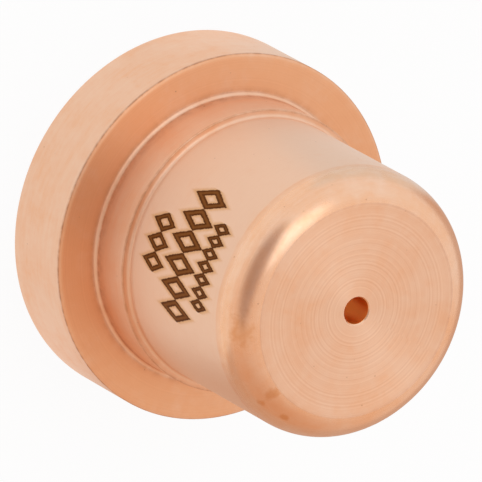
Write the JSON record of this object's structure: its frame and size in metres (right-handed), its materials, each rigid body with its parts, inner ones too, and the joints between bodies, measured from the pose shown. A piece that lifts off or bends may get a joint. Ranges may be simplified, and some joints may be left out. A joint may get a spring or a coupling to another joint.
{
  "type": "plasma torch nozzle",
  "caption": "Turned copper nozzle for a plasma cutting torch, with a rear clamping flange, a short pilot, a plain body, a rounded nose and a small arc orifice.",
  "frame": {"origin": "centre of the flange's rear face, which the nozzle stands on", "axes": "+Z along the turning axis, from the rear face to the nose; X and Y are free because the part is round"},
  "size_m": [0.016, 0.016, 0.0144],
  "materials": {
    "copper": "satin turned copper, bare"
  },
  "bodies": {
    "root": {"nozzle": "copper"}
  },
  "joints": []
}
